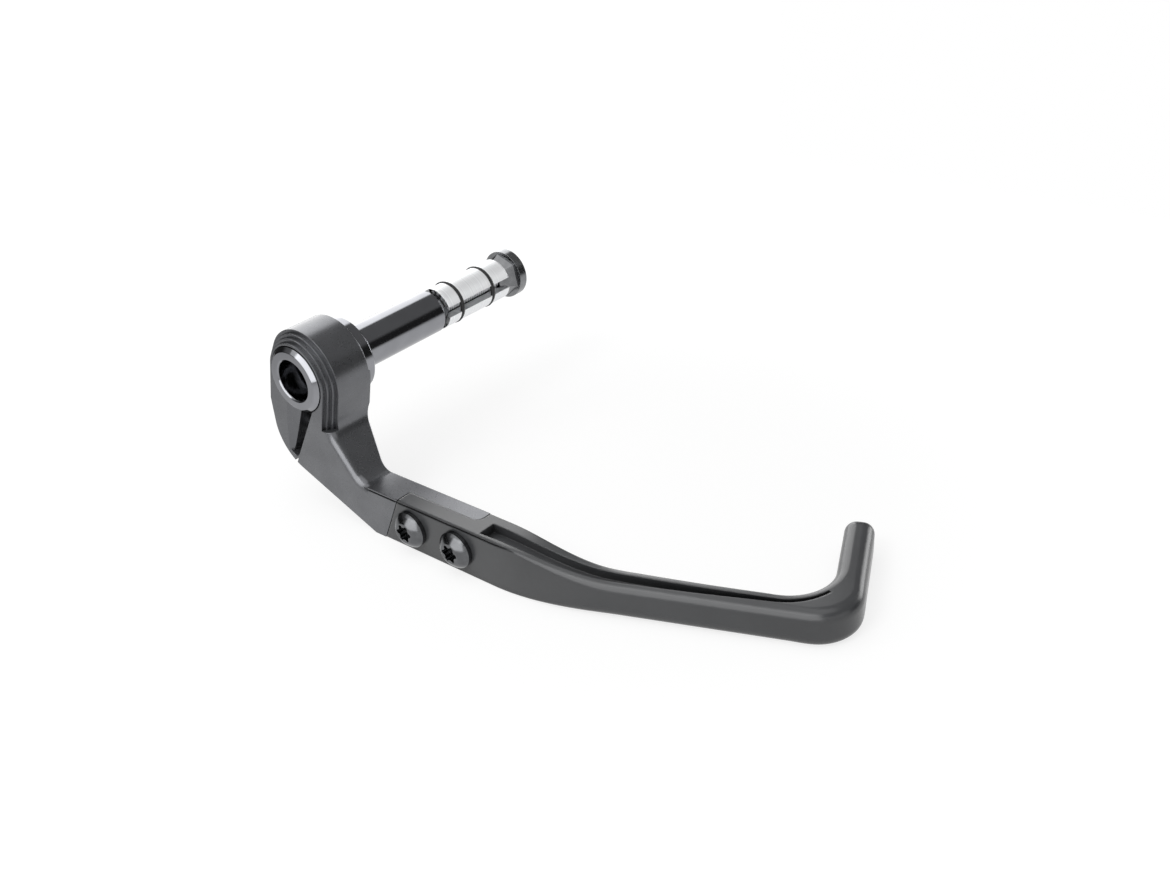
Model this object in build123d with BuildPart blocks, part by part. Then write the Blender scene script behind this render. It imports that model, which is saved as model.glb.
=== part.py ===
from build123d import *
import os
from math import atan2, cos, degrees, radians, sin, tan

# Bar-end brake lever guard: a clamp bracket holds a moulded guard blade in front of the lever,
# and a stem with a three-segment expander grips the inside of the handlebar.
# Frame: +Y runs along the stem into the handlebar, +X forward along the bolted joint, +Z up.
# The origin is on the stem's axis, on the flange face that meets the end of the handlebar.

# Mount stem
tube_radius = 6.5
tube_length = 32.5
tube_edge = 0.5
flange_radius = 10.8
flange_thickness = 4.7
flange_edge = 0.6
relief_depth = 0.4
relief_margin = 0.3
spigot_proud = 1.2
collar_edge = 1.1
socket_radius = 6.0
socket_edge = 0.4
socket_depth = 13.0
cone_shoulder = 0.6
cone_angle = 30.0
cone_tip_wall = 0.7

# Expander
bolt_radius = 3.0
bolt_clearance = 0.3
bolt_head_radius = 5.0
bolt_head_height = 6.0
bolt_socket_across = 5.0
bolt_socket_depth = 3.0
bolt_end_sink = 1.0
segment_count = 3
segment_radius = 6.4
segment_length = 26.7
segment_gap = 3.2
segment_start = 1.8
segment_turn = 2.0
o_ring_section = 0.65
o_ring_proud = 0.25
o_ring_near_inset = 5.8
o_ring_far_inset = 7.3
nut_disc_radius = 7.5
nut_disc_thickness = 3.4
nut_disc_edge = 0.5
nut_neck_length = 0.44
nut_neck_radius = 6.9
nut_turn = 40.0

# Clamp bracket
ring_radius = 13.4
ring_width = 15.1
bore_radius = 9.7
bore_edge = 0.3
clamp_gap = 0.05
ridge_count = 3
ridge_rise = 0.95
ridge_run = 1.1
ridge_end = 14.0
ridge_run_out = 15.0
ear_corner_radius = 14.0
neck_lean = 15.0
neck_fillet = 5.5
arm_lean = 53.4
arm_fillet = 6.0
lip_radius = 2.2
lip_margin = 1.0
belly_slope = 22.7
belly_end = 23.4
back_slant_start = 10.8
back_edge = 0.5
slit_width = 5.2
slit_end_width = 2.8
slit_gap = 0.9
slit_lean = 27.5
slit_offset = 1.35
slit_reach = 18.6
slit_exit = 9.0
facet_length = 18.5
facet_width = 5.2
facet_width_end = 1.0
facet_depth = 0.9

# Bolted joint between bracket and blade
joint_top = 26.9
joint_height = 14.6
joint_thickness = 9.4
tongue_thickness = 4.6
tongue_margin = 4.1
tongue_corner = 2.5
seam_top = 34.5
seam_lean = 26.0
seam_gap = 0.25
crease_width = 0.55
crease_depth = 0.5
crease_margin = 0.5
crease_lip = 0.45
crease_start = 21.0
crease_run = 14.0

# Blade screws
screw_radius = 3.0
screw_clearance = 0.2
screw_length = 8.8
screw_head_radius = 5.25
screw_head_height = 3.2
screw_head_rim = 1.2
screw_first = 39.0
screw_pitch = 16.9
dome_flank = 1.1
dome_share = 0.62
lobe_count = 6
lobe_circle = 1.95
lobe_radius = 0.65
lobe_depth = 1.9
lobe_margin = 0.35

# Clamp screw
pinch_radius = 2.5
pinch_clearance = 0.25
pinch_length = 16.0
pinch_head_radius = 4.25
pinch_head_height = 5.0
pinch_head_clearance = 0.3
pinch_drop = 10.7
pinch_ear = 3.4
pinch_socket_across = 4.0
pinch_socket_depth = 2.5
pinch_set_back = 7.0
thread_clearance = 0.05

# Guard blade
root_margin = 2.0
bend_lead = 6.0
bend_radius = 86.0
bend_angle = 20.8
straight_length = 42.9
hook_radius = 11.8
hook_inner_radius = 12.0
hook_angle = 92.0
hook_length = 23.3
blade_height = 10.4
blade_thickness = 7.6
hook_height = 10.8
hook_thickness = 7.7
tip_length = 5.0
tip_reach = 0.94
tip_steps = 4
blade_steps = 40
channel_steps = 30
root_corner = 0.4
blade_corner = 3.0
swell_length = 36.0
slim_length = 64.0
channel_lead = 2.0
channel_rim = 3.2
channel_depth = 2.6
channel_end_depth = 0.7
channel_width = 5.2
channel_end_width = 0.8
channel_margin = 1.0
channel_hook_share = 0.54

# Places worked out from the sizes above
front_y = flange_thickness + ring_width
tongue_end = screw_first + screw_pitch + tongue_margin
blade_start = tongue_end + root_margin
bend_start = blade_start + bend_lead
crease_end = blade_start + crease_run
joint_bottom = joint_top + joint_height
joint_back = front_y - joint_thickness
lap_y = joint_back + tongue_thickness
screw_z = -(joint_top + joint_height / 2)
screw_places = [(screw_first, screw_z), (screw_first + screw_pitch, screw_z)]
front_plane = Plane.XZ.offset(front_y)
spigot_radius = bore_radius - clamp_gap
reach = 2 * ring_radius + joint_bottom


def moved(point, angle, distance):
    """Point reached from another one in the sketch plane, by direction in degrees and distance."""
    return (point[0] + distance * cos(radians(angle)), point[1] + distance * sin(radians(angle)))


def on_circle(radius, angle):
    """Point of a circle about the stem's axis."""
    return moved((0, 0), angle, radius)


def meet(point_a, angle_a, point_b, angle_b):
    """Point where two lines cross, each given by a point and a direction in degrees."""
    dx = point_b[0] - point_a[0]
    dy = point_b[1] - point_a[1]
    turn = sin(radians(angle_b - angle_a))
    distance = (dx * sin(radians(angle_b)) - dy * cos(radians(angle_b))) / turn
    return moved(point_a, angle_a, distance)


def ease(value):
    """Smooth step from 0 to 1."""
    share = min(max(value, 0.0), 1.0)
    return share * share * (3 - 2 * share)


# Stem: spigot in the clamp, flange with a relieved corner against the handlebar, tube and cone
relief_radius = nut_disc_radius + relief_margin
cone_radius = tube_radius - cone_shoulder
cone_tip_radius = bolt_radius + bolt_clearance + cone_tip_wall
cone_length = (cone_radius - cone_tip_radius) / tan(radians(cone_angle))
collar_y = -(front_y + spigot_proud)
head_seat_y = collar_y + socket_depth
with BuildPart() as mount_stem:
    with BuildSketch(Plane.XY):
        with BuildLine():
            Polyline(
                (socket_radius + socket_edge, collar_y),
                (spigot_radius - collar_edge, collar_y),
                (spigot_radius, collar_y + collar_edge),
                (spigot_radius, -flange_thickness),
                (flange_radius, -flange_thickness),
                (flange_radius, -flange_edge),
                (flange_radius - flange_edge, 0),
                (relief_radius, 0),
                (relief_radius, -relief_depth),
                (tube_radius, -relief_depth),
                (tube_radius, tube_length - tube_edge),
                (tube_radius - tube_edge, tube_length),
                (cone_radius, tube_length),
                (cone_tip_radius, tube_length + cone_length),
                (bolt_radius + bolt_clearance, tube_length + cone_length),
                (bolt_radius + bolt_clearance, head_seat_y),
                (socket_radius, head_seat_y),
                (socket_radius, collar_y + socket_edge),
                close=True,
            )
        make_face()
    revolve(axis=Axis.Y)
mount_stem.part.label = "mount_stem"

# Expander nut: faceted wedge, neck and end disc
segment_y = tube_length + segment_start
segment_end_y = segment_y + segment_length
cone_at_segment = cone_radius - segment_start * tan(radians(cone_angle))
wedge_length = (nut_neck_radius - cone_tip_radius) / tan(radians(cone_angle))
wedge_y = segment_end_y - (cone_at_segment - cone_tip_radius) / tan(radians(cone_angle))
disc_y = wedge_y + wedge_length + nut_neck_length
nut_end_y = disc_y + nut_disc_thickness
with BuildPart() as expander_nut:
    with BuildSketch(Plane.XZ.offset(-wedge_y)):
        RegularPolygon(cone_tip_radius, 2 * segment_count, rotation=nut_turn)
    with BuildSketch(Plane.XZ.offset(-wedge_y - wedge_length)):
        RegularPolygon(nut_neck_radius, 2 * segment_count, rotation=nut_turn)
    loft()
    with BuildSketch(Plane.XZ.offset(-wedge_y - wedge_length)):
        RegularPolygon(nut_neck_radius, 2 * segment_count, rotation=nut_turn)
    extrude(amount=-nut_neck_length)
    with BuildSketch(Plane.XZ.offset(-disc_y)):
        Circle(nut_disc_radius)
    extrude(amount=-nut_disc_thickness)
    chamfer(expander_nut.faces().sort_by(Axis.Y)[-1].edges(), nut_disc_edge)
    with BuildSketch(Plane.XZ.offset(-wedge_y)):
        Circle(bolt_radius + thread_clearance)
    extrude(amount=-(nut_end_y - wedge_y), mode=Mode.SUBTRACT)
expander_nut.part.label = "expander_nut"

# Expander bolt: cap head in the stem's socket, shank through to the nut
bolt_length = nut_end_y - bolt_end_sink - head_seat_y
with BuildPart() as expander_bolt:
    with BuildSketch(Plane.XZ.offset(-head_seat_y)):
        Circle(bolt_head_radius)
    extrude(amount=bolt_head_height)
    chamfer(expander_bolt.faces().sort_by(Axis.Y)[0].edges(), socket_edge)
    with BuildSketch(Plane.XZ.offset(-head_seat_y)):
        Circle(bolt_radius)
    extrude(amount=-bolt_length)
    with BuildSketch(Plane.XZ.offset(bolt_head_height - head_seat_y)):
        RegularPolygon(bolt_socket_across / 2, 6, major_radius=False)
    extrude(amount=-bolt_socket_depth, mode=Mode.SUBTRACT)
expander_bolt.part.label = "expander_bolt"

# Expander segments: thirds of a turned sleeve with coned ends and two grooves for the rings
sleeve_radius = bolt_radius + bolt_clearance
end_radius = cone_at_segment + thread_clearance
mouth_length = (end_radius - sleeve_radius) / tan(radians(cone_angle))
ring_centre = segment_radius + o_ring_proud - o_ring_section
groove_radius = ring_centre - o_ring_section
ring_places = [segment_y + o_ring_near_inset, segment_end_y - o_ring_far_inset]
segments = []
for index in range(segment_count):
    with BuildPart() as segment:
        with BuildSketch(Plane.XY):
            with BuildLine():
                Polyline(
                    (end_radius, segment_y),
                    (segment_radius, segment_y),
                    (segment_radius, segment_end_y),
                    (end_radius, segment_end_y),
                    (sleeve_radius, segment_end_y - mouth_length),
                    (sleeve_radius, segment_y + mouth_length),
                    close=True,
                )
            make_face()
            for place in ring_places:
                with Locations((groove_radius + o_ring_section, place)):
                    Rectangle(2 * o_ring_section, 2 * o_ring_section, mode=Mode.SUBTRACT)
                with Locations((segment_radius, place)):
                    Rectangle(2 * o_ring_section, 2 * o_ring_section, mode=Mode.SUBTRACT)
        revolve(axis=Axis.Y)
        sector_angle = 360 / segment_count
        sector_start = segment_turn + index * sector_angle
        with BuildSketch(Plane.XZ.offset(-segment_y)):
            tip_radius = segment_gap / 2 / sin(radians(sector_angle / 2))
            tip = on_circle(tip_radius, sector_start + sector_angle / 2)
            with BuildLine():
                Polyline(
                    tip,
                    moved(tip, sector_start, 2 * segment_radius),
                    moved(tip, sector_start + sector_angle / 2, 2 * segment_radius),
                    moved(tip, sector_start + sector_angle, 2 * segment_radius),
                    close=True,
                )
            make_face()
        extrude(amount=-segment_length, mode=Mode.INTERSECT)
    segment.part.label = f"expander_segment_{index + 1}"
    segments.append(segment)

# Rubber rings that hold the segments together
rings = []
for name, place in zip(("near", "far"), ring_places):
    with BuildPart() as o_ring:
        with BuildSketch(Plane.XY):
            with Locations((ring_centre, place)):
                Circle(o_ring_section)
        revolve(axis=Axis.Y)
    o_ring.part.label = f"o_ring_{name}"
    rings.append(o_ring)

# Clamp bracket: split ring, cranked arm and the tongue behind the blade
neck_angle = 270 - neck_lean
ear_top = (-ring_radius, 0)
neck_top = on_circle(ring_radius, -neck_lean)
belly_corner = (belly_end, -joint_bottom)
ear_corner = meet(ear_top, 270, belly_corner, 180 - belly_slope)
neck_foot = meet(neck_top, neck_angle, (0, -ridge_end), 0)
arm_foot = meet(neck_foot, -arm_lean, (seam_top, -joint_top), 180)
lip_start = moved(neck_foot, neck_angle + 180, neck_fillet)
lip_end = moved(arm_foot, 0, arm_fillet * tan(radians(arm_lean / 2)) + seam_gap)
lip_plane = Plane(
    (lip_start[0], -front_y, lip_start[1]),
    x_dir=(cos(radians(neck_angle + 90)), 0, sin(radians(neck_angle + 90))),
    z_dir=(cos(radians(neck_angle)), 0, sin(radians(neck_angle))),
)
slit_top = (slit_offset, -bore_radius)
slit_angle = 270 - slit_lean
slit_end = moved(slit_top, slit_angle, slit_reach)
slit_mouth = moved(slit_end, slit_angle, slit_exit)
slit_start = moved(slit_top, slit_angle, -bore_radius / 2)
slit_direction = (cos(radians(slit_angle)), 0, sin(radians(slit_angle)))
facet_side = (cos(radians(slit_angle - 90)), 0, sin(radians(slit_angle - 90)))
pinch_point = moved(slit_top, slit_angle, pinch_drop)
pinch_seat = slit_width / 2 + pinch_ear
pinch_direction = (cos(radians(slit_lean)), 0, -sin(radians(slit_lean)))
pinch_origin = (pinch_point[0], pinch_set_back - front_y, pinch_point[1])
pinch_plane = Plane(pinch_origin, x_dir=(0, 1, 0), z_dir=pinch_direction)
with BuildPart() as clamp_bracket:
    with BuildSketch(front_plane) as outline:
        Circle(ring_radius)
        with BuildLine():
            Polyline(
                (0, 0),
                ear_top,
                ear_corner,
                belly_corner,
                (tongue_end, -joint_bottom),
                moved((tongue_end, -joint_bottom), 90, joint_height),
                arm_foot,
                neck_foot,
                neck_top,
                close=True,
            )
        make_face()
        fillet(outline.vertices().sort_by_distance((*ear_corner, 0))[0], ear_corner_radius)
        fillet(outline.vertices().sort_by_distance((*neck_foot, 0))[0], neck_fillet)
        fillet(outline.vertices().sort_by_distance((*arm_foot, 0))[0], arm_fillet)
    extrude(amount=-ring_width)
    # The back of the arm slants from the ring down to the thinner tongue
    with BuildSketch(Plane.YZ.offset(-reach)):
        with BuildLine():
            Polyline(
                (-flange_thickness, -back_slant_start),
                (-joint_back, -joint_top),
                (-joint_back, -reach),
                (0, -reach),
                (0, -back_slant_start),
                close=True,
            )
        make_face()
    extrude(amount=reach + 2 * tongue_end, mode=Mode.SUBTRACT)
    # Stepped ridges round the front edge of the ring, running out along the ear and down the neck
    for step in range(ridge_count):
        kept_radius = ring_radius - (ridge_count - step) * ridge_rise
        left = on_circle(kept_radius, 180 - ridge_run_out)
        left_foot = moved(left, 270 - ridge_run_out, ridge_end)
        right = on_circle(kept_radius, -neck_lean)
        right_foot = moved(right, neck_angle, ridge_end)
        with BuildSketch(front_plane):
            with BuildLine():
                Polyline(
                    (-reach, left_foot[1]),
                    (-reach, reach),
                    (reach, reach),
                    (reach, -ridge_end),
                    (0, -ridge_end),
                    (0, left_foot[1]),
                    close=True,
                )
            make_face()
            Circle(kept_radius, mode=Mode.SUBTRACT)
            with BuildLine():
                Polyline((0, 0), left, left_foot, (0, left_foot[1]), close=True)
            make_face(mode=Mode.SUBTRACT)
            with BuildLine():
                Polyline((0, 0), right, right_foot, (0, right_foot[1]), close=True)
            make_face(mode=Mode.SUBTRACT)
        extrude(amount=-(step + 1) * ridge_run, mode=Mode.SUBTRACT)
    # Rounded lip where the ridges end, along the front edge of the arm's slope
    with BuildLine(front_plane) as lip_line:
        FilletPolyline(lip_start, neck_foot, arm_foot, lip_end, radius=(neck_fillet, arm_fillet))
    with BuildSketch(lip_plane):
        with BuildLine():
            Polyline(
                (0, -lip_radius),
                (lip_margin, -lip_radius),
                (lip_margin, lip_margin),
                (-lip_radius, lip_margin),
                (-lip_radius, 0),
            )
            RadiusArc((-lip_radius, 0), (0, -lip_radius), lip_radius)
        make_face()
    sweep(path=lip_line.wire(), mode=Mode.SUBTRACT)
    # Machined edge round the back of the ring, and the bore with its lead-in
    with BuildSketch(Plane.XY):
        with BuildLine():
            Polyline(
                (ring_radius, -flange_thickness),
                (ring_radius - back_edge, -flange_thickness),
                (ring_radius, -flange_thickness - back_edge),
                close=True,
            )
        make_face()
    revolve(axis=Axis((0, 0, 0), (0, -1, 0)), revolution_arc=180, mode=Mode.SUBTRACT)
    with BuildSketch(Plane.XY):
        with BuildLine():
            Polyline(
                (0, -flange_thickness),
                (bore_radius, -flange_thickness),
                (bore_radius, bore_edge - front_y),
                (bore_radius + bore_edge, -front_y),
                (0, -front_y),
                close=True,
            )
        make_face()
    revolve(axis=Axis.Y, mode=Mode.SUBTRACT)
    # Clamp slit with a narrow mouth, and a sloped facet on its ear side that narrows downwards
    with BuildSketch(front_plane):
        with BuildLine():
            Polyline(
                moved(slit_start, slit_angle + 90, slit_width / 2),
                moved(slit_start, slit_angle - 90, slit_width / 2),
                moved(slit_end, slit_angle - 90, slit_end_width / 2),
                moved(slit_end, slit_angle + 90, slit_end_width / 2 - slit_gap),
                moved(slit_mouth, slit_angle + 90, slit_end_width / 2 - slit_gap),
                moved(slit_mouth, slit_angle + 90, slit_end_width / 2),
                moved(slit_end, slit_angle + 90, slit_end_width / 2),
                close=True,
            )
        make_face()
    extrude(amount=-ring_width, mode=Mode.SUBTRACT)
    for distance, width in ((0, facet_width), (facet_length, facet_width_end)):
        slit_half = (slit_width + (slit_end_width - slit_width) * distance / slit_reach) / 2
        place = moved(moved(slit_top, slit_angle, distance), slit_angle - 90, slit_half)
        facet_plane = Plane((place[0], -front_y, place[1]), x_dir=facet_side, z_dir=slit_direction)
        with BuildSketch(facet_plane):
            with BuildLine():
                Polyline(
                    (-slit_half, -facet_depth),
                    (2 * width, -facet_depth),
                    (-slit_half, facet_depth * (1 + slit_half / width)),
                    close=True,
                )
            make_face()
    loft(mode=Mode.SUBTRACT)
    # Half lap: the front of the joint makes room for the blade's root
    with BuildSketch(front_plane):
        with BuildLine():
            Polyline(
                moved((seam_top, -joint_top), 90 - seam_lean, joint_height),
                moved((seam_top, -joint_top), 270 - seam_lean, 2 * joint_height),
                (2 * tongue_end, -reach),
                (2 * tongue_end, 0),
                close=True,
            )
        make_face()
    extrude(amount=lap_y - front_y, mode=Mode.SUBTRACT)
    tongue_tip = clamp_bracket.edges().filter_by(Axis.Z).sort_by_distance((tongue_end, -lap_y, screw_z))[0]
    fillet(tongue_tip, tongue_corner)
    # Tapped holes for the blade screws
    with BuildSketch(Plane.XZ.offset(lap_y)):
        with Locations(*screw_places):
            Circle(screw_radius + thread_clearance)
    extrude(amount=-tongue_thickness, mode=Mode.SUBTRACT)
    # Clamp screw: head pocket and clear hole in the ear, tapped hole in the arm
    with BuildSketch(pinch_plane):
        Circle(pinch_radius + thread_clearance)
    extrude(amount=pinch_length, mode=Mode.SUBTRACT)
    with BuildSketch(pinch_plane):
        Circle(pinch_radius + pinch_clearance)
    extrude(amount=-pinch_seat, mode=Mode.SUBTRACT)
    with BuildSketch(pinch_plane.offset(-pinch_seat)):
        Circle(pinch_head_radius + pinch_head_clearance)
    extrude(amount=-reach, mode=Mode.SUBTRACT)
    # Crease under the top edge of the joint
    with BuildSketch(front_plane):
        with Locations((crease_start, -joint_top - crease_lip)):
            Rectangle(tongue_end, crease_width, align=(Align.MIN, Align.MAX))
    extrude(amount=-crease_depth, mode=Mode.SUBTRACT)
clamp_bracket.part.label = "clamp_bracket"

# Clamp screw: cap head seated in the ear, shank across the slit
with BuildPart() as clamp_screw:
    with BuildSketch(pinch_plane.offset(-pinch_seat)):
        Circle(pinch_radius)
    extrude(amount=pinch_length)
    with BuildSketch(pinch_plane.offset(-pinch_seat)):
        Circle(pinch_head_radius)
    extrude(amount=-pinch_head_height)
    with BuildSketch(pinch_plane.offset(-pinch_seat - pinch_head_height)):
        RegularPolygon(pinch_socket_across / 2, 6, major_radius=False)
    extrude(amount=pinch_socket_depth, mode=Mode.SUBTRACT)
clamp_screw.part.label = "clamp_screw"

# Guard blade: flat root over the tongue, then a rounded bar that bends inboard and ends in a hook
bend_length = radians(bend_angle) * bend_radius
fan_radius = hook_inner_radius + hook_thickness
hook_arc_length = radians(hook_angle) * fan_radius
bend_at = bend_start - blade_start
straight_at = bend_at + bend_length
hook_at = straight_at + straight_length
hook_end_at = hook_at + hook_arc_length
tip_at = hook_end_at + hook_length - tip_length


def heading_at(distance):
    """Direction of the near face in plan, in degrees, at a distance along it."""
    bend_share = min(max((distance - bend_at) / bend_length, 0.0), 1.0)
    hook_share = min(max((distance - hook_at) / hook_arc_length, 0.0), 1.0)
    return bend_angle * bend_share + hook_angle * hook_share


def near_face_at(distance):
    """Point of the near face in plan, at a distance along it. The hook takes a wider arc than its corner."""
    point = (blade_start, -front_y)
    point = moved(point, 0, min(distance, bend_at))
    if distance > bend_at:
        turn = min(distance - bend_at, bend_length) / bend_radius
        point = moved(point, 0, bend_radius * sin(turn))
        point = moved(point, 90, bend_radius * (1 - cos(turn)))
    if distance > straight_at:
        point = moved(point, bend_angle, min(distance, hook_at) - straight_at)
    if distance > hook_at:
        turn = min(distance - hook_at, hook_arc_length) / fan_radius
        point = moved(point, bend_angle, fan_radius * sin(turn))
        point = moved(point, bend_angle + 90, fan_radius * (1 - cos(turn)))
    if distance > hook_end_at:
        point = moved(point, bend_angle + hook_angle, distance - hook_end_at)
    return point


def blade_size_at(distance, ease_length, root_size, blade_size, hook_size):
    """Size that eases from the root to the blade and from the blade to the hook."""
    slimmed = ease((distance - bend_at) / ease_length)
    hooked = ease((distance - hook_at) / hook_arc_length)
    return root_size + (blade_size - root_size) * slimmed + (hook_size - blade_size) * hooked


def thickness_at(distance):
    """Thickness of the blade in plan, inwards from the line that its sections follow."""
    return blade_size_at(distance, slim_length, joint_thickness, blade_thickness, hook_thickness)


def corner_bulge_at(distance):
    """How far the outer corner of the hook stands out from the wider arc that the sections follow."""
    half = hook_angle / 2
    off = abs(min(max((distance - hook_at) / hook_arc_length, 0.0), 1.0) * hook_angle - half)
    centre = (fan_radius - hook_radius) / cos(radians(half))
    if off > half - degrees(atan2(centre * sin(radians(half)), fan_radius)):
        return fan_radius / cos(radians(half - off)) - fan_radius
    across = centre * sin(radians(off))
    return centre * cos(radians(off)) + (hook_radius ** 2 - across ** 2) ** 0.5 - fan_radius


def height_at(distance):
    """Height of the blade's section."""
    return blade_size_at(distance, swell_length, joint_height, blade_height, hook_height)


def corner_at(distance):
    """Radius on the long edges of the blade's section."""
    return blade_size_at(distance, swell_length, root_corner, blade_corner, blade_corner)


def section_plane(distance, inset, height):
    """Plane across the blade, at an inset from the near face and a height above the blade's bottom."""
    heading = heading_at(distance)
    point = moved(near_face_at(distance), heading + 90, inset)
    direction = (cos(radians(heading)), sin(radians(heading)), 0)
    side = (-sin(radians(heading)), cos(radians(heading)), 0)
    return Plane((point[0], point[1], height - joint_bottom), x_dir=side, z_dir=direction)


def channel_width_at(distance):
    """Width of the channel, an even taper to its end in the hook."""
    share = (distance - channel_lead) / (channel_end_at - channel_lead)
    return channel_width + (channel_end_width - channel_width) * share


def channel_depth_at(distance):
    """Depth of the channel, which runs out in the hook."""
    share = max(distance - hook_at, 0) / (channel_end_at - hook_at)
    return channel_depth + (channel_end_depth - channel_depth) * ease(share)


channel_end_at = hook_at + hook_arc_length * channel_hook_share
root_top = (seam_top + seam_gap, -joint_top)
channel_at = channel_lead
channel_length = channel_end_at - channel_at
with BuildPart() as guard_blade:
    with BuildSketch(front_plane):
        with BuildLine():
            Polyline(
                root_top,
                meet(root_top, 270 - seam_lean, (blade_start, -joint_bottom), 180),
                (blade_start, -joint_bottom),
                (blade_start, -joint_top),
                close=True,
            )
        make_face()
    extrude(amount=-joint_thickness)
    fillet(guard_blade.edges().filter_by(Axis.X), root_corner)
    for step in range(blade_steps + 1):
        distance = tip_at * step / blade_steps
        thickness = thickness_at(distance)
        height = height_at(distance)
        bulge = corner_bulge_at(distance)
        with BuildSketch(section_plane(distance, (thickness - bulge) / 2, height / 2)):
            RectangleRounded(thickness + bulge, height, corner_at(distance))
    loft()
    # Rounded tip of the hook
    for step in range(tip_steps + 1):
        along = tip_reach * step / tip_steps
        share = (1 - along * along) ** 0.5
        distance = tip_at + tip_length * along
        thickness = thickness_at(distance)
        height = height_at(distance)
        with BuildSketch(section_plane(distance, thickness / 2, height / 2)):
            RectangleRounded(thickness * share, height * share, corner_at(distance) * share)
    loft()
    # Room behind the root for the bracket's tongue
    with BuildSketch(Plane.XZ.offset(lap_y)):
        with Locations((tongue_end + seam_gap, -joint_bottom - joint_height)):
            Rectangle(tongue_end, 3 * joint_height, align=(Align.MAX, Align.MIN))
    extrude(amount=-joint_thickness, mode=Mode.SUBTRACT)
    pocket_place = (tongue_end + seam_gap, -lap_y, screw_z)
    pocket_corner = guard_blade.edges().filter_by(Axis.Z).sort_by_distance(pocket_place)[0]
    fillet(pocket_corner, tongue_corner + seam_gap)
    # Lightening channel in the top edge
    for step in range(channel_steps + 1):
        distance = channel_at + channel_length * step / channel_steps
        width = channel_width_at(distance)
        depth = channel_depth_at(distance)
        inset = thickness_at(distance) - channel_rim - width / 2
        with BuildSketch(section_plane(distance, inset, height_at(distance))):
            with Locations((0, -depth)):
                Rectangle(width, depth + channel_margin, align=(Align.CENTER, Align.MIN))
    loft(mode=Mode.SUBTRACT)
    # Clear holes for the screws
    with BuildSketch(front_plane):
        with Locations(*screw_places):
            Circle(screw_radius + screw_clearance)
    extrude(amount=-joint_thickness, mode=Mode.SUBTRACT)
    # Crease under the top edge of the root
    with BuildSketch(Plane.XZ.offset(front_y + crease_margin)):
        with Locations((seam_top, -joint_top - crease_lip)):
            Rectangle(crease_end - seam_top, crease_width, align=(Align.MIN, Align.MAX))
    extrude(amount=-crease_depth - crease_margin, mode=Mode.SUBTRACT)
guard_blade.part.label = "guard_blade"

# Blade screws: domed heads with a six-lobed recess
dome_height = screw_head_height - screw_head_rim
head_flat_radius = lobe_circle + lobe_radius + lobe_margin
screw_head_top = front_y + screw_head_height
with BuildPart() as blade_screws:
    for place in screw_places:
        screw_axis = Axis((place[0], 0, place[1]), (0, 1, 0))
        with BuildSketch(Plane((place[0], 0, place[1]), x_dir=(1, 0, 0), z_dir=(0, 0, 1))):
            with BuildLine():
                Polyline(
                    (head_flat_radius, -screw_head_top),
                    (0, -screw_head_top),
                    (0, screw_length - front_y),
                    (screw_radius, screw_length - front_y),
                    (screw_radius, -front_y),
                    (screw_head_radius, -front_y),
                    (screw_head_radius, -front_y - screw_head_rim),
                )
                ThreePointArc(
                    (screw_head_radius, -front_y - screw_head_rim),
                    (screw_head_radius - dome_flank, -front_y - screw_head_rim - dome_height * dome_share),
                    (head_flat_radius, -screw_head_top),
                )
            make_face()
        revolve(axis=screw_axis)
    with BuildSketch(Plane.XZ.offset(screw_head_top)):
        with Locations(*screw_places):
            Circle(lobe_circle)
            with PolarLocations(lobe_circle, lobe_count):
                Circle(lobe_radius)
    extrude(amount=-lobe_depth, mode=Mode.SUBTRACT)
blade_screws.part.label = "blade_screws"

os.makedirs("parts", exist_ok=True)
export_step(mount_stem.part, "parts/mount_stem.step")
export_step(expander_nut.part, "parts/expander_nut.step")
export_step(expander_bolt.part, "parts/expander_bolt.step")
export_step(clamp_bracket.part, "parts/clamp_bracket.step")
export_step(clamp_screw.part, "parts/clamp_screw.step")
export_step(guard_blade.part, "parts/guard_blade.step")
export_step(blade_screws.part, "parts/blade_screws.step")
for piece in segments + rings:
    export_step(piece.part, f"parts/{piece.part.label}.step")
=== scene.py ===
import math

import bmesh
import bpy
from bpy.props import FloatProperty, FloatVectorProperty, PointerProperty
from bpy.types import Operator, Panel, PropertyGroup
from mathutils import Matrix, Vector


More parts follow.
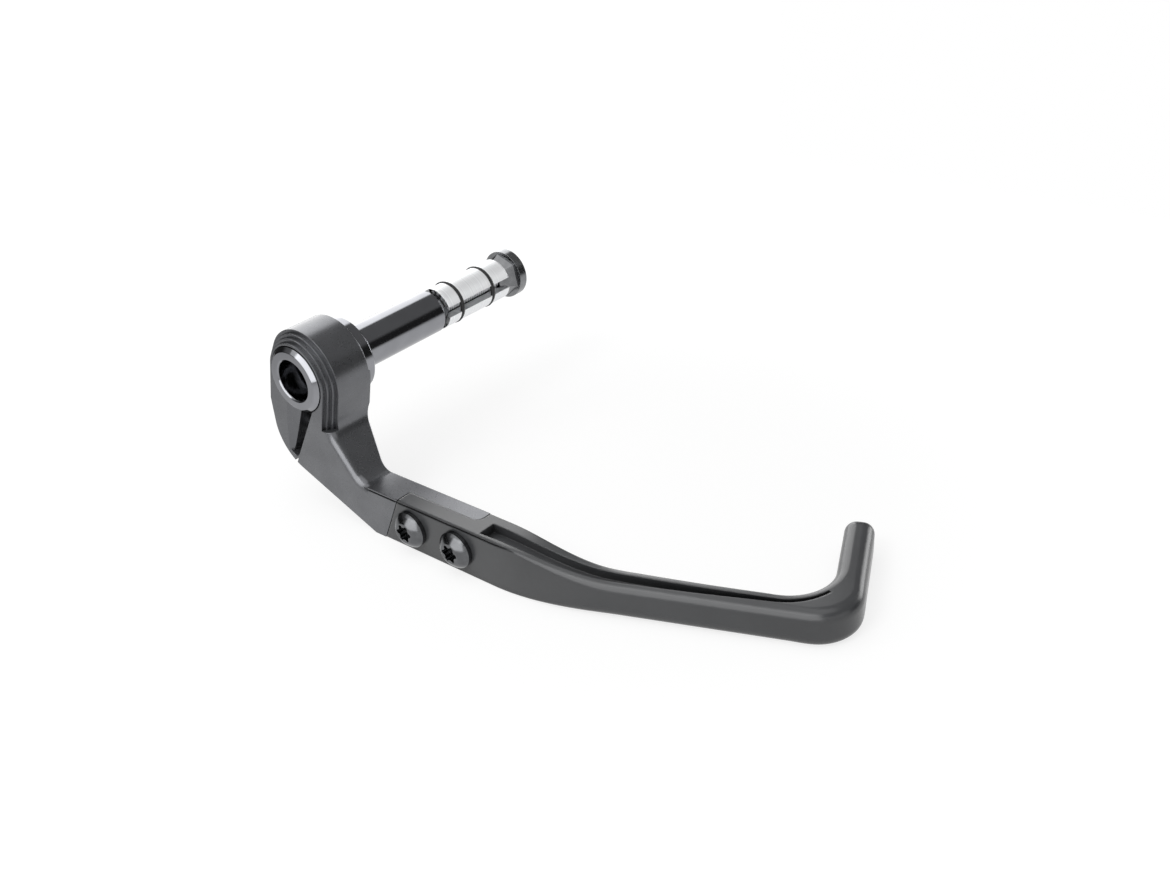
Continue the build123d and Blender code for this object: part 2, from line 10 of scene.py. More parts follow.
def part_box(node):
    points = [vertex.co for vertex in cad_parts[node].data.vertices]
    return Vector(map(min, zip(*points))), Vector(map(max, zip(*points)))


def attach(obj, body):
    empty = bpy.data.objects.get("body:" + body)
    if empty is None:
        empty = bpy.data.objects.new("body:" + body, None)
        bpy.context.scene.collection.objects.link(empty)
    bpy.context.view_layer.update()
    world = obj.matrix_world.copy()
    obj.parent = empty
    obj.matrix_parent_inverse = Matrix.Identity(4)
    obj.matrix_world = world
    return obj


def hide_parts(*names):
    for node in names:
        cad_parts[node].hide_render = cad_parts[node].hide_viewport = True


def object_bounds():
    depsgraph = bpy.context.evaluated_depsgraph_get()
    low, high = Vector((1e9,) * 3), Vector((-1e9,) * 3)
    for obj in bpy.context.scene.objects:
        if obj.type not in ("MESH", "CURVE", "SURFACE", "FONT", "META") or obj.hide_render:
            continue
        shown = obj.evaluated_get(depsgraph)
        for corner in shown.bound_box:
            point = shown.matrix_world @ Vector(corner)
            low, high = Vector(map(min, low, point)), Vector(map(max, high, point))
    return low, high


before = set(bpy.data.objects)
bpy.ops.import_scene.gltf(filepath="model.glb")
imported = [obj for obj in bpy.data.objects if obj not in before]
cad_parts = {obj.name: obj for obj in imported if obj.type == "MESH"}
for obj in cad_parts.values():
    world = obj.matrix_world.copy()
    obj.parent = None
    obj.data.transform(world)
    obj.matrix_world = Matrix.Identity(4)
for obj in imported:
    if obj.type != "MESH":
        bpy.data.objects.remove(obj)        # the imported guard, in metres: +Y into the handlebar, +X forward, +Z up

CAD_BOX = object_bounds()

bl_info = {
    "name": "Brake Lever Guard",
    "version": (1, 0, 0),
    "blender": (4, 5, 0),
    "location": "View3D > Sidebar > Lever Guard",
    "description": "Dresses the packed brake lever guard: finishes, bolt thread and a plain studio",
    "category": "Object",
}

MM = 0.001

# Widths of the patches in which the tone of a finish drifts
BLASTED_PATCH = 9 * MM
POLISHED_PATCH = 7 * MM
OXIDE_PATCH = 2.5 * MM
NYLON_PATCH = 14 * MM
RUBBER_PATCH = 1.2 * MM
EDGE_SAMPLES = 6         # rays that round off an edge in a finish
GROOVE_SAMPLES = 8       # rays that find a groove

WELD = 0.001 * MM        # points closer than this are one point
TURN_STEPS = 40          # points round one turn of the thread
PITCH_STEPS = 10         # rows of points in one pitch
HALF_CREST = 7 / 26      # half the width of the thread's flat crest, as a share of its pitch
THREAD_OVERLAP = 0.25    # turns of the thread that reach into the plain shank
THREAD_SHADE = 0.6       # distance over which the thread shuts out the light, as a share of its pitch

# White panels that gloss shows: degrees round from +Y towards +X, half the width in degrees, the sine of
# the angle above the floor where the panel ends, and its level. The rest of the room is dim.
PANELS = {
    "front": (172, 34, 0.80, 2.9),
    "right": (108, 34, 0.45, 0.9),
    "left behind": (-50, 18, 0.80, 2.5),
    "low behind": (18, 13, 0.40, 3.8),
}
PANEL_EDGE = 5           # degrees over which a panel fades at its sides
PANEL_RIM = 0.07         # the same at its top, as a sine
ROOM_LOW = 0.03          # level of the room near the floor
ROOM_HIGH = 0.22         # the same overhead
ROOM_RISE = (0.3, 0.5)   # sines of the angles between which the room gets lighter
MATT_FILL = 0.25         # level of the even light on matt surfaces

FLOOR_GAP = 0.05 * MM    # between the guard and the floor
# The paper's glow that gloss sees is a painted pool of light round the guard; these two set its size.
POOL_NEAR = 0.05         # metres from the floor's middle to where its light starts to fade in gloss
POOL_FAR = 0.28          # the same to where it has faded
PAPER_BOUNCE = 0.5       # share of the light that the paper throws back at the guard
PAPER_GLOW = 1.13        # level at which the paper glows
GLOW_SHARE = 0.68        # share of the glow beside the guard, where the paper also takes the shadow

# Lamps: place and side in metres, watts, and whether gloss shows the lamp. The backdrop has a panel in
# front too, so gloss shows that one and not the lamp.
LAMPS = {
    "softbox_front": ((0.05, -0.62, 0.62), 0.3, 1.5, False),
    "softbox_overhead": ((0.0, -0.25, 1.0), 1.38, 6.0, True),
}
LAMP_TARGET = Vector((0.05, 0.0, -0.02))

# Camera at the product view: place in metres, and its axes
CAMERA_PLACE = (0.25716, -0.19981, 0.15160)
CAMERA_RIGHT = (0.77935, 0.62368, -0.06032)
CAMERA_UP = (-0.27370, 0.42544, 0.86262)
CAMERA_BACK = (0.56366, -0.65577, 0.50227)
CAMERA_LENS = 38.219     # mm
CAMERA_SENSOR = 36.0     # mm


def to_linear(hex_colour):
    """An sRGB hex colour as three linear values."""
    shares = [int(hex_colour[i:i + 2], 16) / 255 for i in (1, 3, 5)]
    return tuple(s / 12.92 if s <= 0.04045 else ((s + 0.055) / 1.055) ** 2.4 for s in shares)


class GuardSizes(PropertyGroup):
    """Sizes of the details that are drawn here and not in the solids."""

    thread_pitch: FloatProperty(
        name="Thread pitch", description="Rise of one turn of the expander bolt's thread",
        default=1.0 * MM, min=0.2 * MM, unit="LENGTH", precision=5)
    thread_depth: FloatProperty(
        name="Thread depth", description="Crest to root of the expander bolt's thread",
        default=0.36 * MM, min=0.1 * MM, unit="LENGTH", precision=5)
    thread_start: FloatProperty(
        name="Thread start",
        description="Distance from the handlebar's end to the first turn of the thread",
        default=33.0 * MM, min=0.0, unit="LENGTH", precision=5)
    edge_break: FloatProperty(
        name="Edge break", description="Radius of the edges that deburring and moulding round off",
        default=0.3 * MM, min=0.02 * MM, unit="LENGTH", precision=5)
    # Reach of the painted shade in seams and grooves.
    groove_reach: FloatProperty(
        name="Groove reach", description="Distance over which a seam or groove shuts out the light",
        default=1.4 * MM, min=0.2 * MM, unit="LENGTH", precision=5)
    blast_grit: FloatProperty(
        name="Blast grit", description="Width of one dimple that the bead blasting leaves",
        default=0.5 * MM, min=0.05 * MM, unit="LENGTH", precision=5)
    mould_grain: FloatProperty(
        name="Mould grain", description="Width of one grain of the spark eroded mould",
        default=0.55 * MM, min=0.05 * MM, unit="LENGTH", precision=5)
    turning_feed: FloatProperty(
        name="Turning feed", description="Distance between two lines of the lathe tool",
        default=0.5 * MM, min=0.05 * MM, unit="LENGTH", precision=5)
    floor_width: FloatProperty(
        name="Floor width", description="Side of the square floor",
        default=0.6, min=0.4, unit="LENGTH")


class GuardColours(PropertyGroup):
    """Colours of the finishes."""

    blasted_black: FloatVectorProperty(
        name="Blasted black", description="Black anodised bracket",
        default=to_linear("#707174"), size=3, min=0, max=1, subtype="COLOR")
    polished_black: FloatVectorProperty(
        name="Polished black", description="Black anodised stem",
        default=to_linear("#8e8f93"), size=3, min=0, max=1, subtype="COLOR")
    bare_aluminium: FloatVectorProperty(
        name="Bare aluminium", description="Turned expander segments",
        default=to_linear("#f2f3f4"), size=3, min=0, max=1, subtype="COLOR")
    oxide_black: FloatVectorProperty(
        name="Oxide black", description="Screws and bolt",
        default=to_linear("#626365"), size=3, min=0, max=1, subtype="COLOR")
    nut_black: FloatVectorProperty(
        name="Nut black", description="End nut, turned brighter under its oxide",
        default=to_linear("#868789"), size=3, min=0, max=1, subtype="COLOR")
    worn_steel: FloatVectorProperty(
        name="Worn steel",
        description="Thread of the expander bolt, where the nut has rubbed the oxide thin",
        default=to_linear("#e2e3e5"), size=3, min=0, max=1, subtype="COLOR")
    nylon_black: FloatVectorProperty(
        name="Nylon black", description="Moulded blade",
        default=to_linear("#4c4d4f"), size=3, min=0, max=1, subtype="COLOR")
    rubber_black: FloatVectorProperty(
        name="Rubber black", description="Rings round the segments",
        default=to_linear("#161617"), size=3, min=0, max=1, subtype="COLOR")
    floor_white: FloatVectorProperty(
        name="Floor white", description="Studio floor and backdrop",
        default=to_linear("#ffffff"), size=3, min=0, max=1, subtype="COLOR")


def add(tree, kind, settings=(), links=()):
    """Adds a node, sets its options or input values by name, and links its inputs to outputs."""
    made = tree.nodes.new(kind)
    for name, value in dict(settings).items():
        if name == "stops":
            while len(made.color_ramp.elements) < len(value):
                made.color_ramp.elements.new(1.0)
            for stop, (position, colour) in zip(made.color_ramp.elements, value):
                stop.position = position
                stop.color = colour
        elif isinstance(name, int) or name in made.inputs:
            made.inputs[name].default_value = value
        else:
            setattr(made, name, value)
    for name, source in dict(links).items():
        tree.links.new(source, made.inputs[name])
    return made


def start_material(name):
    """A new material with an empty node tree, and the place of a point on the piece."""
    made = bpy.data.materials.new(name)
    made.use_nodes = True
    made.node_tree.nodes.clear()
    return made, made.node_tree, add(made.node_tree, "ShaderNodeTexCoord").outputs["Object"]


def shade(colour, share):
    """A linear colour made lighter or darker by a share, with alpha."""
    return tuple(min(1.0, c * share) for c in colour) + (1.0,)


def tone_with_painted_shade(tree, pattern, colour, spread, reach):
    """Colour that drifts with a pattern, and painted shade that makes it dark where a seam or groove shuts out the
    light.
    """
    stops = ((0.3, shade(colour, 1 - spread)), (0.7, shade(colour, 1 + spread)))
    tone = add(tree, "ShaderNodeValToRGB", {"stops": stops}, {"Fac": pattern})
    # Painted shade: ambient occlusion darkens the colour in seams, grooves and hollows, and beside other parts.
    sky = add(tree, "ShaderNodeAmbientOcclusion", {"samples": GROOVE_SAMPLES, "Distance": reach})
    depth = add(tree, "ShaderNodeMapRange",
                {"From Min": 0.2, "From Max": 0.75, "To Min": 0.06, "To Max": 1.0},
                {"Value": sky.outputs["AO"]})
    painted_shade_tone = add(tree, "ShaderNodeVectorMath", {"operation": "SCALE"},
                 {"Vector": tone.outputs["Color"], "Scale": depth.outputs["Result"]})
    return painted_shade_tone.outputs["Vector"]


def blasted_anodised_aluminium(sizes, colours):
    """Aluminium, milled, bead blasted and black anodised."""
    # The blasting leaves fine dimples, so the black metal has a soft satin glow instead of a mirror. The
    # dyed oxide skin scatters a little of the light, which keeps its upper faces from going black.
    # Real dimples are about 0.1 mm: they are drawn coarser, so that they show in the render.
    made, tree, place = start_material("Aluminium, bead blasted and black anodised")
    dimples = add(tree, "ShaderNodeTexNoise",
                  {"Scale": 1 / sizes.blast_grit, "Detail": 2.0}, {"Vector": place})
    clouds = add(tree, "ShaderNodeTexNoise", {"Scale": 1 / BLASTED_PATCH, "Detail": 3.0}, {"Vector": place})
    tone = tone_with_painted_shade(tree, clouds.outputs["Fac"], colours.blasted_black,
                         spread=0.1, reach=sizes.groove_reach / 2)
    satin = add(tree, "ShaderNodeMapRange",
                {"To Min": 0.25, "To Max": 0.32}, {"Value": dimples.outputs["Fac"]})
    edge = add(tree, "ShaderNodeBevel", {"samples": EDGE_SAMPLES, "Radius": sizes.edge_break})
    relief = add(tree, "ShaderNodeBump", {"Strength": 0.1, "Distance": 0.03 * MM},
                 {"Height": dimples.outputs["Fac"], "Normal": edge.outputs["Normal"]})
    skin = add(tree, "ShaderNodeBsdfPrincipled", {"Metallic": 0.75},
               {"Base Color": tone, "Roughness": satin.outputs["Result"], "Normal": relief.outputs["Normal"]})
    add(tree, "ShaderNodeOutputMaterial", links={"Surface": skin.outputs["BSDF"]})
    return made


def polished_anodised_aluminium(sizes, colours):
    """Aluminium, turned, polished and black anodised."""
    # Polishing keeps long clear bands of light on the tube, with faint rings from the lathe.
    # Real rings are about 0.1 mm apart: they are drawn coarser, so that they show in the render.
    made, tree, place = start_material("Aluminium, polished and black anodised")
    along = add(tree, "ShaderNodeSeparateXYZ", links={"Vector": place}).outputs["Y"]
    rings = add(tree, "ShaderNodeTexNoise",
                {"noise_dimensions": "1D", "Scale": 1 / sizes.turning_feed, "Detail": 2.0}, {"W": along})
    clouds = add(tree, "ShaderNodeTexNoise", {"Scale": 1 / POLISHED_PATCH, "Detail": 2.0}, {"Vector": place})
    tone = tone_with_painted_shade(tree, clouds.outputs["Fac"], colours.polished_black,
                         spread=0.06, reach=sizes.groove_reach)
    gloss = add(tree, "ShaderNodeMapRange",
                {"To Min": 0.1, "To Max": 0.17}, {"Value": rings.outputs["Fac"]})
    edge = add(tree, "ShaderNodeBevel", {"samples": EDGE_SAMPLES, "Radius": sizes.edge_break})
    relief = add(tree, "ShaderNodeBump", {"Strength": 0.03, "Distance": 0.01 * MM},
                 {"Height": rings.outputs["Fac"], "Normal": edge.outputs["Normal"]})
    skin = add(tree, "ShaderNodeBsdfPrincipled", {"Metallic": 1.0},
               {"Base Color": tone, "Roughness": gloss.outputs["Result"], "Normal": relief.outputs["Normal"]})
    add(tree, "ShaderNodeOutputMaterial", links={"Surface": skin.outputs["BSDF"]})
    return made


def turned_bare_aluminium(sizes, colours):
    """Aluminium, turned and left bare."""
    # Bare aluminium is nearly white. The tool's fine rings draw its reflections out along the sleeve.
    # Real rings are about 0.1 mm apart: they are drawn coarser, so that they show in the render.
    made, tree, place = start_material("Aluminium, turned and bare")
    along = add(tree, "ShaderNodeSeparateXYZ", links={"Vector": place}).outputs["Y"]
    rings = add(tree, "ShaderNodeTexNoise",
                {"noise_dimensions": "1D", "Scale": 1 / sizes.turning_feed, "Detail": 3.0}, {"W": along})
    tone = tone_with_painted_shade(tree, rings.outputs["Fac"], colours.bare_aluminium,
                         spread=0.06, reach=sizes.groove_reach / 3)
    gloss = add(tree, "ShaderNodeMapRange",
                {"To Min": 0.5, "To Max": 0.62}, {"Value": rings.outputs["Fac"]})
    lengthwise = add(tree, "ShaderNodeCombineXYZ", {"Y": 1.0})
    edge = add(tree, "ShaderNodeBevel", {"samples": EDGE_SAMPLES, "Radius": sizes.edge_break / 2})
    skin = add(tree, "ShaderNodeBsdfPrincipled", {"Metallic": 1.0, "Anisotropic": 0.5},
               {"Base Color": tone, "Roughness": gloss.outputs["Result"], "Normal": edge.outputs["Normal"],
                "Tangent": lengthwise.outputs["Vector"]})
    add(tree, "ShaderNodeOutputMaterial", links={"Surface": skin.outputs["BSDF"]})
    return made


def oxide_black_steel(sizes, colour, reach):
    """Steel, rolled and headed, with a black oxide finish."""
    # Black oxide is thin, so the steel keeps a dark oily gloss with slightly uneven patches.
    made, tree, place = start_material("Steel, black oxide")
    patches = add(tree, "ShaderNodeTexNoise", {"Scale": 1 / OXIDE_PATCH, "Detail": 4.0}, {"Vector": place})
    tone = tone_with_painted_shade(tree, patches.outputs["Fac"], colour, spread=0.15, reach=reach)
    gloss = add(tree, "ShaderNodeMapRange",
                {"To Min": 0.16, "To Max": 0.26}, {"Value": patches.outputs["Fac"]})
    edge = add(tree, "ShaderNodeBevel", {"samples": EDGE_SAMPLES, "Radius": sizes.edge_break / 2})
    skin = add(tree, "ShaderNodeBsdfPrincipled", {"Metallic": 1.0},
               {"Base Color": tone, "Roughness": gloss.outputs["Result"], "Normal": edge.outputs["Normal"]})
    add(tree, "ShaderNodeOutputMaterial", links={"Surface": skin.outputs["BSDF"]})
    return made


def moulded_filled_nylon(sizes, colours):
    """Glass-filled nylon, injection moulded in a spark eroded mould."""
    # The mould's grain and the glass near the skin give a dry satin black with a broad soft highlight.
    # A real grain is about 0.1 mm wide: it is drawn coarser, so that it shows in the render.
    made, tree, place = start_material("Nylon, glass-filled and moulded")
    grain = add(tree, "ShaderNodeTexNoise",
                {"Scale": 1 / sizes.mould_grain, "Detail": 3.0}, {"Vector": place})
    flow = add(tree, "ShaderNodeTexNoise", {"Scale": 1 / NYLON_PATCH, "Detail": 3.0}, {"Vector": place})
    # The painted shade reaches far here, so the blade's channel and the rings round its screw heads go dark.
    tone = tone_with_painted_shade(tree, flow.outputs["Fac"], colours.nylon_black,
                         spread=0.12, reach=3 * sizes.groove_reach)
    satin = add(tree, "ShaderNodeMapRange",
                {"To Min": 0.23, "To Max": 0.27}, {"Value": grain.outputs["Fac"]})
    edge = add(tree, "ShaderNodeBevel", {"samples": EDGE_SAMPLES, "Radius": 2 * sizes.edge_break})
    relief = add(tree, "ShaderNodeBump", {"Strength": 0.015, "Distance": 0.04 * MM},
                 {"Height": grain.outputs["Fac"], "Normal": edge.outputs["Normal"]})
    skin = add(tree, "ShaderNodeBsdfPrincipled", {"IOR": 1.54},
               {"Base Color": tone, "Roughness": satin.outputs["Result"], "Normal": relief.outputs["Normal"]})
    add(tree, "ShaderNodeOutputMaterial", links={"Surface": skin.outputs["BSDF"]})
    return made


def moulded_rubber(sizes, colours):
    """Nitrile rubber, moulded."""
    # Rubber is a dull black with a faint bloom of grey.
    made, tree, place = start_material("Rubber, moulded nitrile")
    bloom = add(tree, "ShaderNodeTexNoise", {"Scale": 1 / RUBBER_PATCH, "Detail": 3.0}, {"Vector": place})
    tone = tone_with_painted_shade(tree, bloom.outputs["Fac"], colours.rubber_black,
                         spread=0.25, reach=sizes.groove_reach)
    dull = add(tree, "ShaderNodeMapRange",
               {"To Min": 0.5, "To Max": 0.65}, {"Value": bloom.outputs["Fac"]})
    skin = add(tree, "ShaderNodeBsdfPrincipled", {"IOR": 1.52},
               {"Base Color": tone, "Roughness": dull.outputs["Result"]})
    add(tree, "ShaderNodeOutputMaterial", links={"Surface": skin.outputs["BSDF"]})
    return made


def finish_nodes(names, material):
    """Gives CAD nodes a material in place of the plain one they were packed with."""
    for name in names:
        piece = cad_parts[name]
        piece.data.materials.clear()
        piece.data.materials.append(material)


def new_piece(name, build, materials):
    """A mesh piece from a bmesh, on the guard's one body."""
    mesh = bpy.data.meshes.new(name)
    build.to_mesh(mesh)
    build.free()
    for material in materials:
        mesh.materials.append(material)
    piece = bpy.data.objects.new(name, mesh)
    bpy.context.scene.collection.objects.link(piece)
    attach(piece, "root")
    return piece


def cut_shank(build, end):
    """Keeps the head and plain shank of the expander bolt, up to a distance along its axis."""
    bmesh.ops.remove_doubles(build, verts=build.verts, dist=WELD)
    everything = build.verts[:] + build.edges[:] + build.faces[:]
    cut = bmesh.ops.bisect_plane(
        build, geom=everything, plane_co=(0, end, 0), plane_no=(0, 1, 0), clear_outer=True)
    rim = [part for part in cut["geom_cut"] if isinstance(part, bmesh.types.BMEdge)]
    bmesh.ops.contextual_create(build, geom=rim)
    bmesh.ops.dissolve_degenerate(build, dist=WELD, edges=build.edges)


def wind_thread(build, radius, depth, pitch, start, end):
    """Adds a closed helical thread about the stem's axis, with flat crests and sharp roots."""
    rows = round((end - start) / pitch * PITCH_STEPS)
    rings = []
    for row in range(rows + 1):
        y = start + (end - start) * row / rows
        ring = []
        for step in range(TURN_STEPS):
            angle = 2 * math.pi * step / TURN_STEPS
            phase = (y / pitch - step / TURN_STEPS) % 1
            fall = max(abs(phase - 0.5) - HALF_CREST, 0.0) / (0.5 - HALF_CREST)
            reach = radius - depth * fall
            ring.append(build.verts.new((reach * math.cos(angle), y, reach * math.sin(angle))))
        rings.append(ring)
    for lower, upper in zip(rings, rings[1:]):
        for step in range(TURN_STEPS):
            after = (step + 1) % TURN_STEPS
            flank = build.faces.new((lower[step], upper[step], upper[after], lower[after]))
            flank.material_index = 1
    build.faces.new(rings[0])
    build.faces.new(rings[-1][::-1])


class GUARD_OT_bracket(Operator):
    """Finishes the clamp bracket in blasted black aluminium"""

    bl_idname = "guard.bracket"
    bl_label = "Clamp bracket"

    def execute(self, context):
        scene = context.scene
        finish_nodes(["clamp_bracket"], blasted_anodised_aluminium(scene.guard_sizes, scene.guard_colours))
        return {"FINISHED"}


class GUARD_OT_blade(Operator):
    """Finishes the guard blade in moulded nylon"""

    bl_idname = "guard.blade"
    bl_label = "Guard blade"

    def execute(self, context):
        scene = context.scene
        finish_nodes(["guard_blade"], moulded_filled_nylon(scene.guard_sizes, scene.guard_colours))
        return {"FINISHED"}


class GUARD_OT_stem(Operator):
    """Finishes the mount stem in polished black aluminium"""

    bl_idname = "guard.stem"
    bl_label = "Mount stem"

    def execute(self, context):
        scene = context.scene
        finish_nodes(["mount_stem"], polished_anodised_aluminium(scene.guard_sizes, scene.guard_colours))
        return {"FINISHED"}


class GUARD_OT_expander(Operator):
    """Finishes the segments and the rubber rings round them"""

    bl_idname = "guard.expander"
    bl_label = "Expander segments and rings"

    def execute(self, context):
        scene = context.scene
        segments = [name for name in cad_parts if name.startswith("expander_segment")]
        finish_nodes(segments, turned_bare_aluminium(scene.guard_sizes, scene.guard_colours))
        finish_nodes(["o_ring_near", "o_ring_far"], moulded_rubber(scene.guard_sizes, scene.guard_colours))
        return {"FINISHED"}


class GUARD_OT_fasteners(Operator):
    """Finishes the screws and the nut in black steel, and winds the expander bolt's thread"""

    bl_idname = "guard.fasteners"
    bl_label = "Screws, bolt and nut"

    def execute(self, context):
        scene = context.scene
        sizes, colours = scene.guard_sizes, scene.guard_colours
        steel = oxide_black_steel(sizes, colours.oxide_black, sizes.groove_reach)
        finish_nodes(["blade_screws", "clamp_screw"], steel)
        finish_nodes(["expander_nut"], oxide_black_steel(sizes, colours.nut_black, sizes.groove_reach))
        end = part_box("expander_bolt")[1][1]
        build = bmesh.new()
        build.from_mesh(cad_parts["expander_bolt"].data)
        cut_shank(build, sizes.thread_start)
        shank = max(math.hypot(vert.co.x, vert.co.z) for vert in build.verts if vert.co.y > 0)
        start = sizes.thread_start - THREAD_OVERLAP * sizes.thread_pitch
        wind_thread(build, shank, sizes.thread_depth, sizes.thread_pitch, start, end)
        threaded = oxide_black_steel(sizes, colours.worn_steel, THREAD_SHADE * sizes.thread_pitch)
        bolt = new_piece("threaded_expander_bolt", build, [steel, threaded])
        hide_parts("expander_bolt")
        return {"FINISHED"}


class GUARD_OT_stage(Operator):
    """Sets the guard on a white floor with soft light and a camera at the product view"""

    bl_idname = "guard.stage"
    bl_label = "Studio"

    def execute(self, context):
        scene = context.scene
        sizes, colours = scene.guard_sizes, scene.guard_colours
        scene.view_settings.view_transform = "Standard"
        self.floor(scene, sizes, colours)
        self.backdrop(scene, colours)
        self.lamps(scene)
        self.camera(scene)
        return {"FINISHED"}

    def seen_directly(self, tree):
        """One where the camera, a mirror reflection or a clear part sees the surface, else nought."""
        path = add(tree, "ShaderNodeLightPath")
        first = add(tree, "ShaderNodeMath", {"operation": "MAXIMUM"},
                    {0: path.outputs["Is Camera Ray"], 1: path.outputs["Is Glossy Ray"]})
        both = add(tree, "ShaderNodeMath", {"operation": "MAXIMUM"},
                   {0: first.outputs["Value"], 1: path.outputs["Is Transmission Ray"]})
        return both.outputs["Value"]

    def floor(self, scene, sizes, colours):
        """White paper under the guard, which takes its shadow."""
        build = bmesh.new()
        bmesh.ops.create_grid(build, x_segments=8, y_segments=8, size=sizes.floor_width / 2)
        mesh = bpy.data.meshes.new("studio_floor")
        build.to_mesh(mesh)
        build.free()
        floor = bpy.data.objects.new("studio_floor", mesh)
        middle = (CAD_BOX[0] + CAD_BOX[1]) / 2
        floor.location = (middle.x, middle.y, CAD_BOX[0].z - FLOOR_GAP)
        scene.collection.objects.link(floor)
        made, tree, place = start_material("Paper, white studio sweep")
        # A pool of light is painted round the guard as glow: gloss shows the paper glowing bright there and dim
        # farther off.
        outward = add(tree, "ShaderNodeVectorMath", {"operation": "LENGTH"}, {0: place})
        pool = add(tree, "ShaderNodeMapRange",
                   {"interpolation_type": "SMOOTHSTEP", "From Min": POOL_NEAR, "From Max": POOL_FAR,
                    "To Min": 1.0, "To Max": 0.0}, {"Value": outward.outputs["Value"]}).outputs["Result"]
        pooled = add(tree, "ShaderNodeMath", {"operation": "MULTIPLY"},
                     {0: self.seen_directly(tree), 1: pool})
        path = add(tree, "ShaderNodeLightPath")
        direct = add(tree, "ShaderNodeMath", {"operation": "MAXIMUM"},
                     {0: path.outputs["Is Camera Ray"], 1: pooled.outputs["Value"]}).outputs["Value"]
        tint = add(tree, "ShaderNodeMapRange", {"To Min": PAPER_BOUNCE, "To Max": 1.0}, {"Value": direct})
        paper = add(tree, "ShaderNodeBsdfDiffuse", links={"Color": tint.outputs["Result"]})
        glow = add(tree, "ShaderNodeEmission",
                   {"Color": shade(colours.floor_white, 1.0), "Strength": PAPER_GLOW})
        # Towards its edge the paper only glows, so that no edge shows against the backdrop.
        glowing = add(tree, "ShaderNodeMapRange", {"To Min": 1.0, "To Max": GLOW_SHARE}, {"Value": pool})
        share = add(tree, "ShaderNodeMath", {"operation": "MULTIPLY"},
                    {0: direct, 1: glowing.outputs["Result"]})
        mixed = add(tree, "ShaderNodeMixShader",
                    links={0: share.outputs["Value"], 1: paper.outputs["BSDF"], 2: glow.outputs["Emission"]})
        add(tree, "ShaderNodeOutputMaterial", links={"Surface": mixed.outputs["Shader"]})
        mesh.materials.append(made)

    def backdrop(self, scene, colours):
        """White behind the guard, and the panels and dim room that its gloss shows."""
        world = bpy.data.worlds.new("White studio")
        world.use_nodes = True
        scene.world = world
        tree = world.node_tree
        tree.nodes.clear()
        # The panels give the black parts clear bands of light and dark. The camera sees white everywhere,
        # and matt surfaces get an even light.
        path = add(tree, "ShaderNodeLightPath")
        way = add(tree, "ShaderNodeTexCoord").outputs["Generated"]
        height = add(tree, "ShaderNodeSeparateXYZ", links={"Vector": way}).outputs["Z"]
        level_way = add(tree, "ShaderNodeVectorMath", {"operation": "MULTIPLY", 1: (1, 1, 0)}, {0: way})
        heading = add(tree, "ShaderNodeVectorMath", {"operation": "NORMALIZE"},
                      {0: level_way.outputs["Vector"]}).outputs["Vector"]
        room = add(tree, "ShaderNodeMapRange",
                   {"interpolation_type": "SMOOTHSTEP", "From Min": ROOM_RISE[0], "From Max": ROOM_RISE[1],
                    "To Min": ROOM_LOW, "To Max": ROOM_HIGH}, {"Value": height}).outputs["Result"]
        for turn, half, top, level in PANELS.values():
            facing = (math.sin(math.radians(turn)), math.cos(math.radians(turn)), 0)
            along = add(tree, "ShaderNodeVectorMath", {"operation": "DOT_PRODUCT", 1: facing}, {0: heading})
            across = add(tree, "ShaderNodeMapRange",
                         {"interpolation_type": "SMOOTHSTEP",
                          "From Min": math.cos(math.radians(half + PANEL_EDGE)),
                          "From Max": math.cos(math.radians(half - PANEL_EDGE))},
                         {"Value": along.outputs["Value"]})
            upward = add(tree, "ShaderNodeMapRange",
                         {"interpolation_type": "SMOOTHSTEP", "From Min": top - PANEL_RIM,
                          "From Max": top + PANEL_RIM, "To Min": level, "To Max": 0.0}, {"Value": height})
            panel = add(tree, "ShaderNodeMath", {"operation": "MULTIPLY"},
                        {0: across.outputs["Result"], 1: upward.outputs["Result"]})
            room = add(tree, "ShaderNodeMath", {"operation": "MAXIMUM"},
                       {0: room, 1: panel.outputs["Value"]}).outputs["Value"]
        fill = add(tree, "ShaderNodeMix", {"data_type": "FLOAT", "A": MATT_FILL},
                   {"Factor": self.seen_directly(tree), "B": room})
        level = add(tree, "ShaderNodeMath", {"operation": "MAXIMUM"},
                    {0: path.outputs["Is Camera Ray"], 1: fill.outputs["Result"]})
        sky = add(tree, "ShaderNodeBackground", {"Color": shade(colours.floor_white, 1.0)},
                  {"Strength": level.outputs["Value"]})
        add(tree, "ShaderNodeOutputWorld", links={"Surface": sky.outputs["Background"]})

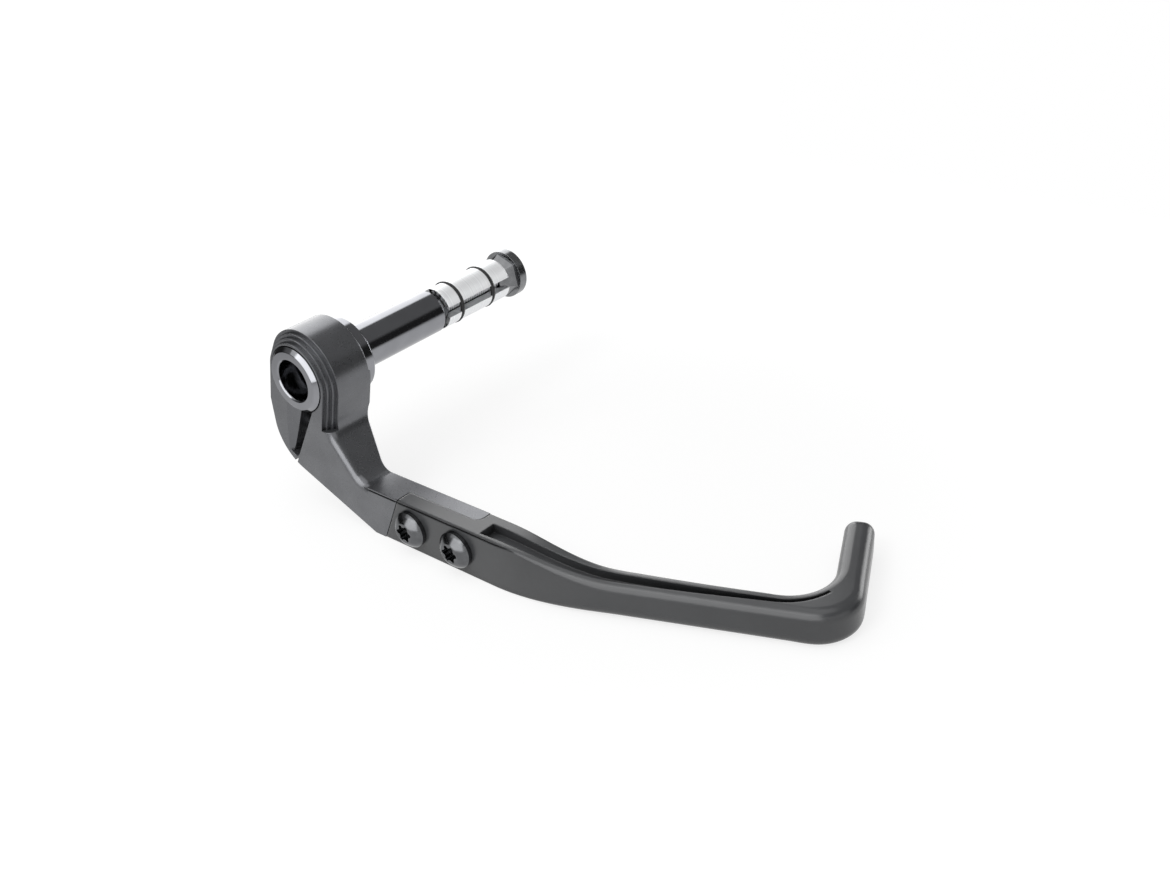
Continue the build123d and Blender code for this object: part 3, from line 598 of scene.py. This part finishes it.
    def lamps(self, scene):
        """Soft square lamps that face the guard."""
        for name, (place, side, watts, in_gloss) in LAMPS.items():
            data = bpy.data.lights.new(name, "AREA")
            data.size = side
            data.energy = watts
            lamp = bpy.data.objects.new(name, data)
            lamp.visible_glossy = in_gloss
            lamp.location = place
            lamp.rotation_euler = (LAMP_TARGET - Vector(place)).to_track_quat("-Z", "Y").to_euler()
            scene.collection.objects.link(lamp)

    def camera(self, scene):
        """The camera at the product view."""
        data = bpy.data.cameras.new("product_camera")
        data.sensor_width = CAMERA_SENSOR
        data.lens = CAMERA_LENS
        data.clip_start = 0.01
        data.clip_end = 20.0
        camera = bpy.data.objects.new("product_camera", data)
        turn = Matrix((CAMERA_RIGHT, CAMERA_UP, CAMERA_BACK)).transposed()
        camera.matrix_world = Matrix.Translation(CAMERA_PLACE) @ turn.to_4x4()
        scene.collection.objects.link(camera)
        scene.camera = camera


class GUARD_PT_panel(Panel):
    """Lists the steps that dress the guard"""

    bl_idname = "GUARD_PT_panel"
    bl_label = "Brake Lever Guard"
    bl_space_type = "VIEW_3D"
    bl_region_type = "UI"
    bl_category = "Lever Guard"

    def draw(self, context):
        layout = self.layout
        for step in STEPS:
            layout.operator(step.bl_idname)
        for group in (context.scene.guard_sizes, context.scene.guard_colours):
            box = layout.box()
            for name in group.__annotations__:
                box.prop(group, name)


STEPS = (
    GUARD_OT_bracket, GUARD_OT_blade, GUARD_OT_stem, GUARD_OT_expander, GUARD_OT_fasteners, GUARD_OT_stage)
CLASSES = (GuardSizes, GuardColours) + STEPS + (GUARD_PT_panel,)


def register():
    for part in CLASSES:
        bpy.utils.register_class(part)
    bpy.types.Scene.guard_sizes = PointerProperty(type=GuardSizes)
    bpy.types.Scene.guard_colours = PointerProperty(type=GuardColours)


def unregister():
    del bpy.types.Scene.guard_colours
    del bpy.types.Scene.guard_sizes
    for part in reversed(CLASSES):
        bpy.utils.unregister_class(part)


def main():
    register()
    bpy.ops.guard.bracket()
    bpy.ops.guard.blade()
    bpy.ops.guard.stem()
    bpy.ops.guard.expander()
    bpy.ops.guard.fasteners()
    bpy.ops.guard.stage()


if __name__ == "__main__":
    main()
